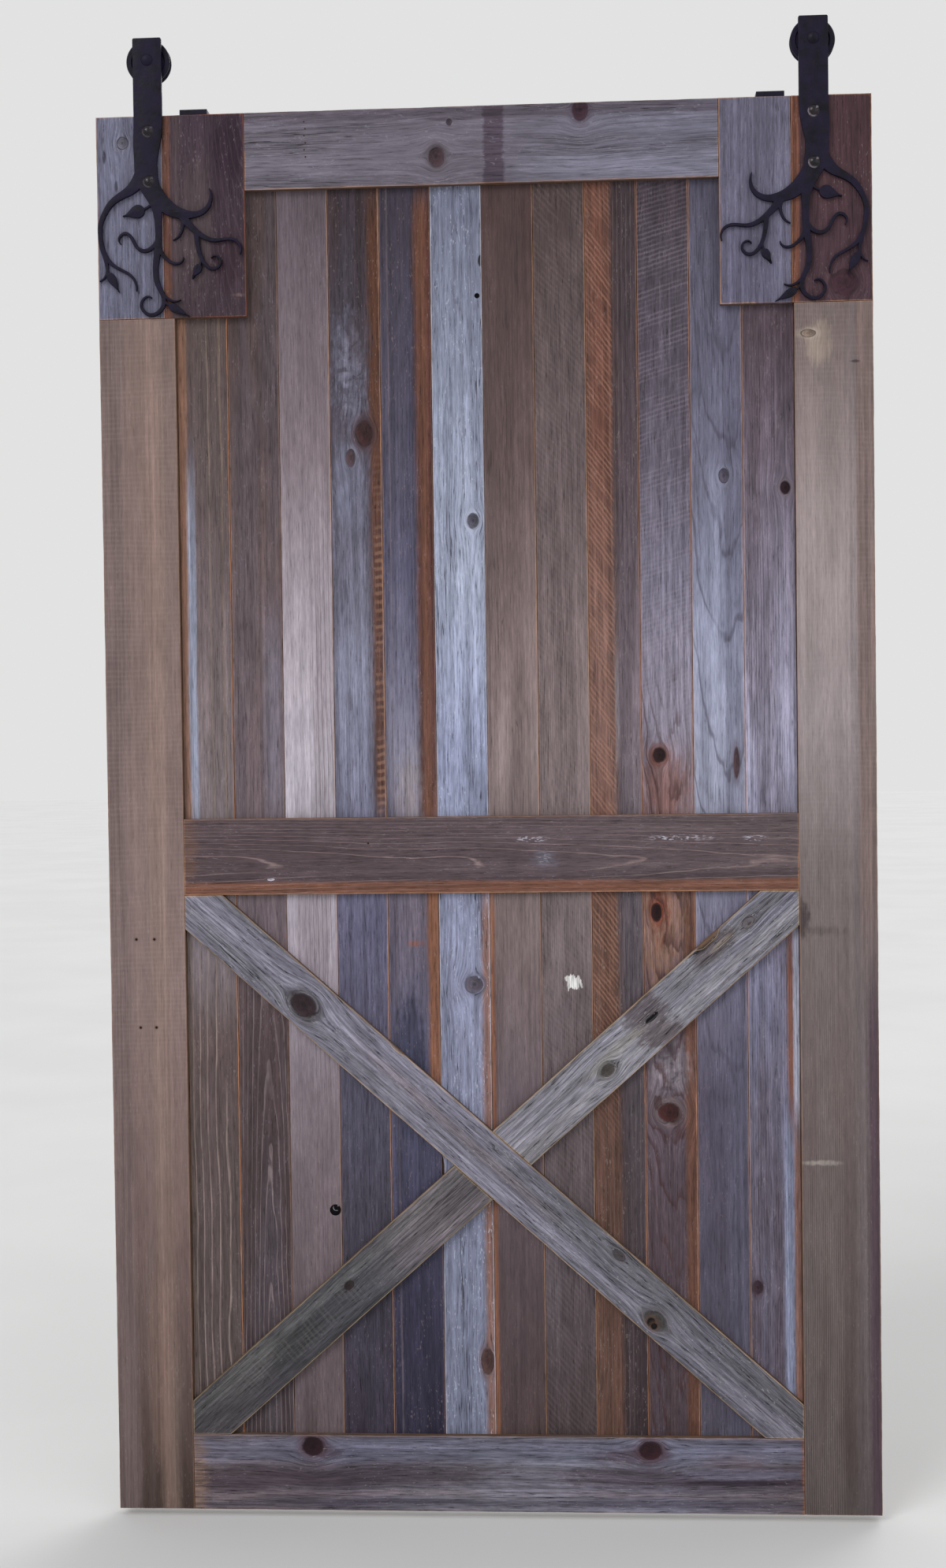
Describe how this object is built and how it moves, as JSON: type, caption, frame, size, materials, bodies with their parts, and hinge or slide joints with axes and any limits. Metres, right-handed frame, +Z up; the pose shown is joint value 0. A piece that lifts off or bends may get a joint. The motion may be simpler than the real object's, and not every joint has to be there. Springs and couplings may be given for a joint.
{
  "type": "sliding barn door",
  "caption": "Tall sliding door leaf of upright reclaimed boards in a framed surround with a crossed lower brace, hung on two tree-scroll strap hangers with grooved wheels.",
  "frame": {"origin": "on the line where the two wheels bear on a track's upper edge, midway along the door", "axes": "+X along the door to the right seen from the front, +Y from the front to the back, +Z up"},
  "size_m": [1.3336, 0.056, 2.5704],
  "materials": {
    "wood_brown": "weathered, rough sawn",
    "wood_rose": "weathered, rough sawn",
    "wood_dark": "weathered, rough sawn",
    "wood_orange": "weathered, rough sawn",
    "wood_silver": "weathered to silver grey, rough sawn",
    "wood_tan": "weathered, saw marked",
    "wood_pale": "weathered to pale grey",
    "filler": "glossy, poured level",
    "iron": "hand forged, blackened and waxed",
    "zinc": "bright zinc plate",
    "screw_steel": "yellow zinc plate",
    "bearing_steel": "ground",
    "cage_brass": "pressed sheet"
  },
  "bodies": {
    "leaf": {"axle_bolt_left": "iron", "axle_bolt_right": "iron", "axle_nut_left": "zinc", "axle_nut_right": "zinc", "axle_spacer_front_left": "zinc", "axle_spacer_front_right": "zinc", "axle_spacer_rear_left": "zinc", "axle_spacer_rear_right": "zinc", "axle_washer_left": "zinc", "axle_washer_right": "zinc", "backing_board_left": "wood_brown", "backing_board_right": "wood_brown", "bearing_inner_ring_left": "bearing_steel", "bearing_inner_ring_right": "bearing_steel", "board_screws": "screw_steel", "bottom_rail": "wood_silver", "brace_long": "wood_silver", "brace_lower": "wood_silver", "brace_upper": "wood_silver", "corner_board_left_inner": "wood_brown", "corner_board_left_outer": "wood_silver", "corner_board_right_inner": "wood_silver", "corner_board_right_outer": "wood_brown", "field_board_01": "wood_brown", "field_board_02": "wood_brown", "field_board_03": "wood_rose", "field_board_04": "wood_dark", "field_board_05": "wood_dark", "field_board_06": "wood_silver", "field_board_07": "wood_brown", "field_board_08": "wood_brown", "field_board_09": "wood_orange", "field_board_10": "wood_rose", "field_board_11": "wood_silver", "field_board_12": "wood_brown", "hanger_bolts": "iron", "hanger_left": "iron", "hanger_nuts": "zinc", "hanger_right": "iron", "hanger_washers": "zinc", "jump_stop_left": "iron", "jump_stop_right": "iron", "jump_stop_screws": "screw_steel", "knot_fillers": "filler", "middle_rail": "wood_brown", "stile_left": "wood_tan", "stile_right": "wood_tan", "top_rail": "wood_pale"},
    "wheel_left": {"wheel_left": "iron", "bearing_outer_ring_left": "bearing_steel", "bearing_balls_left": "bearing_steel", "bearing_cage_left": "cage_brass"},
    "wheel_right": {"wheel_right": "iron", "bearing_outer_ring_right": "bearing_steel", "bearing_balls_right": "bearing_steel", "bearing_cage_right": "cage_brass"}
  },
  "joints": [
    {"name": "wheel_left_spin", "type": "hinge", "parent": "leaf", "child": "wheel_left", "pos_m": [-0.57375, 0, 0.032], "axis": [0, 1, 0], "continuous": true},
    {"name": "wheel_right_spin", "type": "hinge", "parent": "leaf", "child": "wheel_right", "pos_m": [0.56875, 0, 0.032], "axis": [0, 1, 0], "continuous": true}
  ]
}
